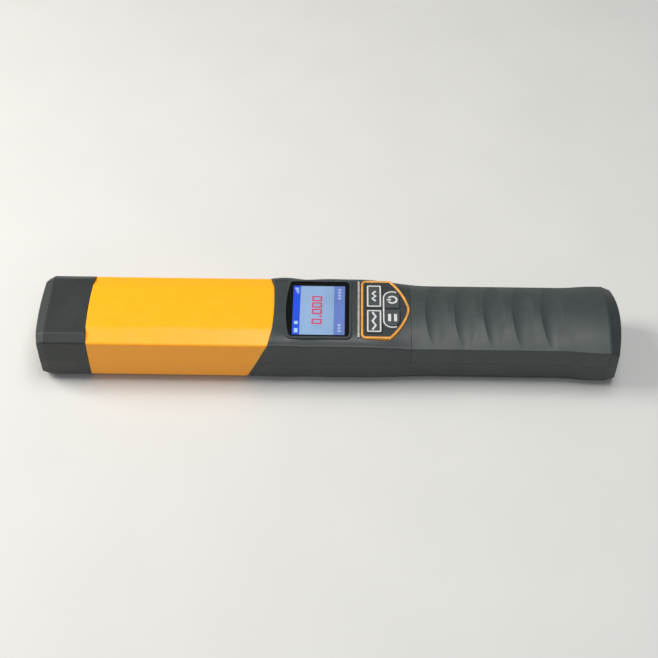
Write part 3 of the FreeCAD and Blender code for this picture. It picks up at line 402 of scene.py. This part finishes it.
def add_band(bm, outer, inner, z0, z1, closed=True):
    """A flat solid between two lines of the same number of points."""
    corners = [[bm.verts.new((x, y, z)) for x, y in line] for line, z in
               ((outer, z0), (outer, z1), (inner, z1), (inner, z0))]
    count = len(outer)
    for k in range(count if closed else count - 1):
        j = (k + 1) % count
        for a in range(4):
            b = (a + 1) % 4
            bm.faces.new((corners[a][k], corners[a][j], corners[b][j], corners[b][k]))
    if not closed:
        bm.faces.new([c[0] for c in corners])
        bm.faces.new([c[-1] for c in reversed(corners)])


def put(name, bm, material, body):
    """Turns a mesh under construction into a piece that rides on a body."""
    bmesh.ops.remove_doubles(bm, verts=bm.verts, dist=1e-7)
    bmesh.ops.recalc_face_normals(bm, faces=bm.faces)
    mesh = bpy.data.meshes.new(name)
    bm.to_mesh(mesh)
    bm.free()
    piece = bpy.data.objects.new(name, mesh)
    bpy.context.scene.collection.objects.link(piece)
    mesh.materials.append(material)
    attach(piece, body)
    return piece


# ---- casing ----
class WAND_OT_finish_casing(bpy.types.Operator):
    """Finish the shells, the sleeve, the nose and the grip"""
    bl_idname = "wand.finish_casing"
    bl_label = "Finish casing"

    def execute(self, context):
        colours = context.scene.wand_colours
        dress(abs_textured_black("ABS textured moulded black", colours.casing), "upper_shell", "lower_shell",
              "battery_door", "screen_rim")
        # Painted shade: the nose cap and the intake grille take the casing's textured ABS in the darker cap
        # colour.
        dress(abs_textured_black("ABS textured nose cap darkened for painted shade", colours.cap), "nose_cap", "intake_grille")
        dress(abs_smooth_yellow(colours.sleeve), "yellow_sleeve")
        dress(tpe_grip(colours.grip), "grip_skin", "port_cover")
        dress(metal("Steel zinc plated", "#B9BCC0", 0.32, 0.6), "shell_screws", "nose_cap_screws",
              "strap_bar", "board_screws")
        dress(chrome_plated(), "trim_bar")
        return {"FINISHED"}


# ---- keypad ----
def key_top(name, rim):
    """The box of a key's top face, without its hidden flange."""
    low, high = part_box(name)
    return low.x + rim, high.x - rim, low.y + rim, high.y - rim, high.z


def frame_line(bm, box, inset, width, radius, z0, z1):
    """A printed line that follows a key's edge."""
    x0, x1, y0, y1 = box
    outer = rounded_rectangle(x0 + inset, x1 - inset, y0 + inset, y1 - inset, radius)
    far = inset + width
    inner = rounded_rectangle(x0 + far, x1 - far, y0 + far, y1 - far, max(radius - width, 0.05 * MM))
    add_band(bm, outer, inner, z0, z1)


def stroke(bm, points, width, z0, z1):
    """A printed line of even width through a few points."""
    left, right = [], []
    for k, (x, y) in enumerate(points):
        ax, ay = points[max(k - 1, 0)]
        bx, by = points[min(k + 1, len(points) - 1)]
        run = Vector((bx - ax, by - ay)).normalized()
        left.append((x - run.y * width / 2, y + run.x * width / 2))
        right.append((x + run.y * width / 2, y - run.x * width / 2))
    add_band(bm, left, right, z0, z1, closed=False)


class WAND_OT_make_keypad(bpy.types.Operator):
    """Finish the keypad and print the marks on and round its keys"""
    bl_idname = "wand.make_keypad"
    bl_label = "Make keypad"

    def execute(self, context):
        colours = context.scene.wand_colours
        sizes = context.scene.wand_sizes
        rubber = silicone_key(colours.keys)
        dress(rubber, "key_up", "key_down", "key_power", "key_enter")
        dress(moulded_plain("ABS moulded keypad plate", "#2A2E30", 0.4), "keypad_plate")
        dress(abs_painted_orange(colours.border), "keypad_border")
        steel = metal("Steel snap dome", "#C8C9C6", 0.22, 0.5)
        for name in ("up", "down", "power", "enter"):
            self.flex_dome(name, steel)
        white = printed("Ink pad printed white", colours.ink, 0.8, 0.1)
        for name, length in (("key_up", 3.6), ("key_down", 6.2)):
            self.mark_arrow(name, length * MM, sizes, white)
        self.mark_power(sizes, white)
        self.mark_lines(sizes, white)
        self.mark_pair(sizes, white)
        return {"FINISHED"}

    def flex_dome(self, name, steel):
        """A snap dome under its key, as a piece of its own with a mesh of its own."""
        bm = bmesh.new()
        bm.from_mesh(NODES["dome_" + name].data)
        piece = put("snap_dome_" + name, bm, steel, NODES["dome_" + name]["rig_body"])
        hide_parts("dome_" + name)
        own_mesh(piece)

    def mark_arrow(self, name, length, sizes, white):
        """A frame with two chevrons that point along the wand."""
        x0, x1, y0, y1, top = key_top(name, sizes.key_rim)
        z0, z1 = top - SINK, top + sizes.ink_thickness
        bm = bmesh.new()
        inset, corner, reach, width = 0.42 * MM, 0.6 * MM, 0.9 * MM, 1.1 * MM
        frame_line(bm, (x0, x1, y0, y1), inset, sizes.line_width, corner, z0, z1)
        cx, cy = (x0 + x1) / 2, (y0 + y1) / 2
        point = reach if name == "key_down" else -reach
        zigzag = [(cx + (point if k % 2 else -point), cy + length * (k / 2 - 1)) for k in range(5)]
        stroke(bm, zigzag, width, z0, z1)
        put(name.replace("key", "mark"), bm, white, name)

    def mark_power(self, sizes, white):
        """A broken ring with a short bar in its gap."""
        x0, x1, y0, y1, top = key_top("key_power", sizes.key_rim)
        z0, z1 = top - SINK, top + sizes.ink_thickness
        cx, cy = (x0 + x1) / 2, (y0 + y1) / 2
        ring_radius, ring_width = 2.35 * MM, 1.0 * MM
        bar_start, bar_end, bar_width = 3.0 * MM, 0.7 * MM, 0.9 * MM
        bm = bmesh.new()
        stroke(bm, arc(cx, cy, ring_radius, 212, 508, 28), ring_width, z0, z1)
        stroke(bm, [(cx - bar_start, cy), (cx - bar_end, cy)], bar_width, z0, z1)
        put("mark_power", bm, white, "key_power")

    def mark_lines(self, sizes, white):
        """Two bars, as on a key that opens a list."""
        x0, x1, y0, y1, top = key_top("key_enter", sizes.key_rim)
        z0, z1 = top - SINK, top + sizes.ink_thickness
        cx, cy = (x0 + x1) / 2, (y0 + y1) / 2
        off, half_width, half_length, corner = 1.6 * MM, 0.8 * MM, 2.6 * MM, 0.4 * MM
        bm = bmesh.new()
        for side in (-1, 1):
            x = cx + side * off
            add_slab(bm, rounded_rectangle(x - half_width, x + half_width, cy - half_length, cy + half_length,
                                           corner), z0, z1)
        put("mark_enter", bm, white, "key_enter")

    def mark_pair(self, sizes, white):
        """A printed line round the nose side of the two round-ended keys."""
        x0, x1, _, y1, _ = key_top("key_power", sizes.key_rim)
        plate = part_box("keypad_plate")[1].z
        radius = (x1 - x0) / 2
        cx, end = x0 + radius, y1 - radius
        clear = 0.75 * MM
        off = radius + clear
        line = arc(cx, end, off, 62, 180, 14) + arc(cx, -end, off, 180, 298, 14)
        bm = bmesh.new()
        stroke(bm, line, sizes.line_width, plate - SINK, plate + sizes.ink_thickness)
        put("mark_pair", bm, white, "housing")


# ---- screen ----
DIGIT_BARS = {
    "0": "abcdef", "1": "bc", "2": "abged", "3": "abgcd", "4": "fgbc",
    "5": "afgcd", "6": "afgedc", "7": "abc", "8": "abcdefg", "9": "abcdfg",
}


def bar_ends(width, height):
    """Each bar of a seven-bar digit by its letter, as its two ends."""
    left, right, foot, middle, head = 0.0, width, 0.0, height / 2, height
    return {
        "a": ((left, head), (right, head)), "b": ((right, middle), (right, head)),
        "c": ((right, foot), (right, middle)), "d": ((left, foot), (right, foot)),
        "e": ((left, foot), (left, middle)), "f": ((left, middle), (left, head)),
        "g": ((left, middle), (right, middle)),
    }


class WAND_OT_make_screen(bpy.types.Operator):
    """Finish the screen's window and panel, and make the lit picture with a reading"""
    bl_idname = "wand.make_screen"
    bl_label = "Make screen"

    def execute(self, context):
        colours = context.scene.wand_colours
        sizes = context.scene.wand_sizes
        dress(pmma_window(), "screen_window")
        # Painted reflection: the black mask ink is lightened to slate, standing for the window's reflections
        # over it.
        dress(printed("Ink screen printed black lightened for painted reflection", linear("#3C4F57"), 1.0, 0.04), "screen_mask")
        dress(moulded_plain("EPDM foam gasket", "#1B1B1B", 0.8), "screen_gasket")
        dress(moulded_plain("Glass display panel", "#20242C", 0.2), "display_panel")
        dress(moulded_plain("PC display holder", "#55585B"), "display_holder")
        low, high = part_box("display_panel")
        margin = sizes.panel_margin
        self.x0, self.x1 = low.x + margin, high.x - margin
        self.y0, self.y1 = low.y + margin, high.y - margin
        self.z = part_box("screen_mask")[0].z
        status = self.x0 + sizes.status_width
        menu = self.x1 - sizes.menu_width
        corner = 0.1 * MM
        self.layer("picture_field", lit("Lit screen field", colours.field, GLOW), 1,
                   [rounded_rectangle(self.x0, self.x1, self.y0, self.y1, corner)])
        self.layer("picture_status", lit("Lit status bar", colours.bar, GLOW), 2,
                   [rounded_rectangle(self.x0, status, self.y0, self.y1, corner)])
        self.layer("picture_menu", lit("Lit menu bar", colours.menu, GLOW), 2,
                   [rounded_rectangle(menu, self.x1, self.y0, self.y1, corner)])
        self.layer("picture_status_marks", lit("Lit status marks", linear("#BFDBFF"), GLOW), 3,
                   self.status_marks(status))
        self.layer("picture_menu_marks", lit("Lit menu marks", linear("#B9CBF2"), GLOW), 3,
                   self.menu_marks(menu))
        self.write_reading("0.000", sizes.digit_height, (status + menu) / 2,
                           lit("Lit reading", colours.reading, GLOW))
        return {"FINISHED"}

    def layer(self, name, material, level, outlines):
        """One colour of the lit picture. Each level lies just above the one before."""
        bm = bmesh.new()
        for outline in outlines:
            add_slab(bm, outline, self.z + LAYER * level, self.z + LAYER * (level + 1))
        return put(name, bm, material, "housing")

    def status_marks(self, edge):
        """Two blank signs at one end of the bar, and four bars of falling height for signal at the other."""
        x = edge - 0.9 * MM
        tall, bar_width, pitch, corner = 2.0 * MM, 0.75 * MM, 1.15 * MM, 0.3 * MM
        marks = []
        start = self.y1 - 1.4 * MM
        for k in range(4):
            y = start - k * pitch
            top = x - tall * (1.15 - 0.25 * k)
            marks.append([(top, y - bar_width), (x, y - bar_width), (x, y), (top, y)])
        for y0, y1 in ((1.3, 4.4), (7.2, 9.4)):
            marks.append(rounded_rectangle(x - tall, x, self.y0 + y0 * MM, self.y0 + y1 * MM, corner))
        return marks

    def menu_marks(self, edge):
        """Two groups of short lines where the menu's words stand."""
        marks = []
        x = (edge + self.x1) / 2
        half, width, pitch, corner = 0.85 * MM, 1.3 * MM, 2.1 * MM, 0.3 * MM
        for start, count in ((self.y0 + 2.0 * MM, 3), (self.y1 - 9.6 * MM, 4)):
            for k in range(count):
                y = start + k * pitch
                marks.append(rounded_rectangle(x - half, x + half, y, y + width, corner))
        return marks

    def write_reading(self, text, height, middle, material):
        """The reading in seven-bar digits. It reads along +Y, with its head towards the nose."""
        width, pitch, dot = height * 0.62, height * 1.0, height * 0.55
        thick = height * 0.19
        advance = [dot if c == "." else pitch for c in text]
        y = -sum(advance) / 2 + (pitch - width) / 2
        z0, z1 = self.z + 3 * LAYER, self.z + 0.13 * MM
        foot = middle + height / 2
        bm = bmesh.new()
        ends = bar_ends(width, height)
        for character, step in zip(text, advance):
            if character == ".":
                add_slab(bm, rounded_rectangle(foot - thick, foot + thick * 0.4, y, y + thick * 1.4,
                                               thick * 0.3), z0, z1)
            for bar in DIGIT_BARS.get(character, ""):
                (u0, v0), (u1, v1) = ends[bar]
                run = Vector((u1 - u0, v1 - v0)).normalized() * thick * 0.35
                points = [(foot - v0 + run.y, y + u0 - run.x), (foot - v1 - run.y, y + u1 + run.x)]
                stroke(bm, points, thick, z0, z1)
            y += step
        put("picture_reading", bm, material, "housing")


# ---- inside ----
class WAND_OT_finish_inside(bpy.types.Operator):
    """Finish the boards, the sampling parts and the power parts"""
    bl_idname = "wand.finish_inside"
    bl_label = "Finish inside"

    def execute(self, context):
        dress(fr4_board(), "main_board", "sensor_board", "charge_board")
        dress(moulded_plain("Epoxy moulded chips", "#17181A", 0.5), "board_chips", "buzzer", "charge_socket")
        dress(moulded_plain("POM moulded white", "#D9D9D2", 0.4), "sampling_duct", "sample_pump")
        dress(moulded_plain("ABS inner black", "#1E2021", 0.5), "board_rails", "battery_tray")
        dress(metal("Aluminium turned", "#C4C6C8", 0.35, 0.7), "sensor_cell")
        dress(metal("Steel drawn", "#A9ACAF", 0.3, 0.8), "pump_motor")
        dress(metal("Nickel plated spring steel", "#C9C5B8", 0.25, 0.5), "battery_contacts",
              "battery_springs")
        dress(silicone_hose(), "pump_hose", "inlet_hose")
        dress(moulded_plain("Polyimide ribbon", "#B5762A", 0.3), "sensor_ribbon")
        dress(pvc_cell_wrap(), "battery_cells")
        return {"FINISHED"}


# ---- studio ----
def area_light(name, place, target, width, height, power, colour):
    """A soft panel of light that faces a point."""
    data = bpy.data.lights.new(name, "AREA")
    data.shape = "RECTANGLE"
    data.size, data.size_y = width, height
    data.energy = power
    data.color = linear(colour)
    light = bpy.data.objects.new(name, data)
    light.location = place
    light.rotation_euler = (Vector(target) - Vector(place)).to_track_quat("-Z", "Y").to_euler()
    bpy.context.scene.collection.objects.link(light)


class WAND_OT_set_stage(bpy.types.Operator):
    """Set the pale floor, the soft lights and the camera"""
    bl_idname = "wand.set_stage"
    bl_label = "Set stage"

    camera_distance: bpy.props.FloatProperty(name="Distance", unit="LENGTH", default=0.722,
                                             description="From the wand's middle to the camera")
    camera_elevation: bpy.props.FloatProperty(name="Elevation", description="Of the camera above the floor",
                                              subtype="ANGLE", default=math.radians(49))
    camera_azimuth: bpy.props.FloatProperty(name="Azimuth", description="Of the camera round the wand",
                                            subtype="ANGLE", default=math.radians(1))
    field_of_view: bpy.props.FloatProperty(name="Field of view", description="Across the picture",
                                           subtype="ANGLE", default=math.radians(28.0))

    def execute(self, context):
        scene = context.scene
        colours = scene.wand_colours
        mesh = bpy.data.meshes.new("floor")
        bm = bmesh.new()
        bmesh.ops.create_circle(bm, cap_ends=True, segments=96, radius=FLOOR_RADIUS)
        bm.to_mesh(mesh)
        bm.free()
        floor = bpy.data.objects.new("floor", mesh)
        scene.collection.objects.link(floor)
        mesh.materials.append(painted_floor(colours.floor))
        world = bpy.data.worlds.new("studio")
        world.use_nodes = True
        scene.world = world
        backdrop = next(n for n in world.node_tree.nodes if n.type == "BACKGROUND")
        backdrop.inputs["Color"].default_value = rgba(linear("#F2F4F7"))
        backdrop.inputs["Strength"].default_value = SKY_STRENGTH
        middle = (CAD_BOX[0] + CAD_BOX[1]) / 2
        for name, place, width, height, power, colour in LIGHTS:
            area_light(name, place, middle, width, height, power, colour)
        data = bpy.data.cameras.new("camera")
        data.angle = self.field_of_view
        data.clip_start = 0.01
        camera = bpy.data.objects.new("camera", data)
        level = math.cos(self.camera_elevation) * self.camera_distance
        offset = Vector((math.sin(self.camera_azimuth) * level, -math.cos(self.camera_azimuth) * level,
                         math.sin(self.camera_elevation) * self.camera_distance))
        camera.location = middle + offset
        camera.rotation_euler = (-offset).to_track_quat("-Z", "Y").to_euler()
        scene.collection.objects.link(camera)
        scene.camera = camera
        scene.view_settings.view_transform = "Standard"
        return {"FINISHED"}


class WAND_PT_panel(bpy.types.Panel):
    """The wand's operators and settings"""
    bl_label = "Wand Tester"
    bl_space_type = "VIEW_3D"
    bl_region_type = "UI"
    bl_category = "Wand"

    def draw(self, context):
        layout = self.layout
        for operator in OPERATORS:
            layout.operator(operator.bl_idname)
        for group in (context.scene.wand_colours, context.scene.wand_sizes):
            box = layout.box()
            for name in group.__annotations__:
                box.prop(group, name)


OPERATORS = (WAND_OT_finish_casing, WAND_OT_make_keypad, WAND_OT_make_screen, WAND_OT_finish_inside,
             WAND_OT_set_stage)
CLASSES = (WandColours, WandSizes, *OPERATORS, WAND_PT_panel)


def register():
    """Makes the classes and the scene's settings known to Blender."""
    for made in CLASSES:
        bpy.utils.register_class(made)
    bpy.types.Scene.wand_colours = bpy.props.PointerProperty(type=WandColours)
    bpy.types.Scene.wand_sizes = bpy.props.PointerProperty(type=WandSizes)


def unregister():
    """Takes the classes and the scene's settings away again."""
    del bpy.types.Scene.wand_sizes
    del bpy.types.Scene.wand_colours
    for made in reversed(CLASSES):
        bpy.utils.unregister_class(made)


def main():
    """Makes everything in order."""
    register()
    bpy.ops.wand.finish_casing()
    bpy.ops.wand.make_keypad()
    bpy.ops.wand.make_screen()
    bpy.ops.wand.finish_inside()
    bpy.ops.wand.set_stage()


if __name__ == "__main__":
    main()
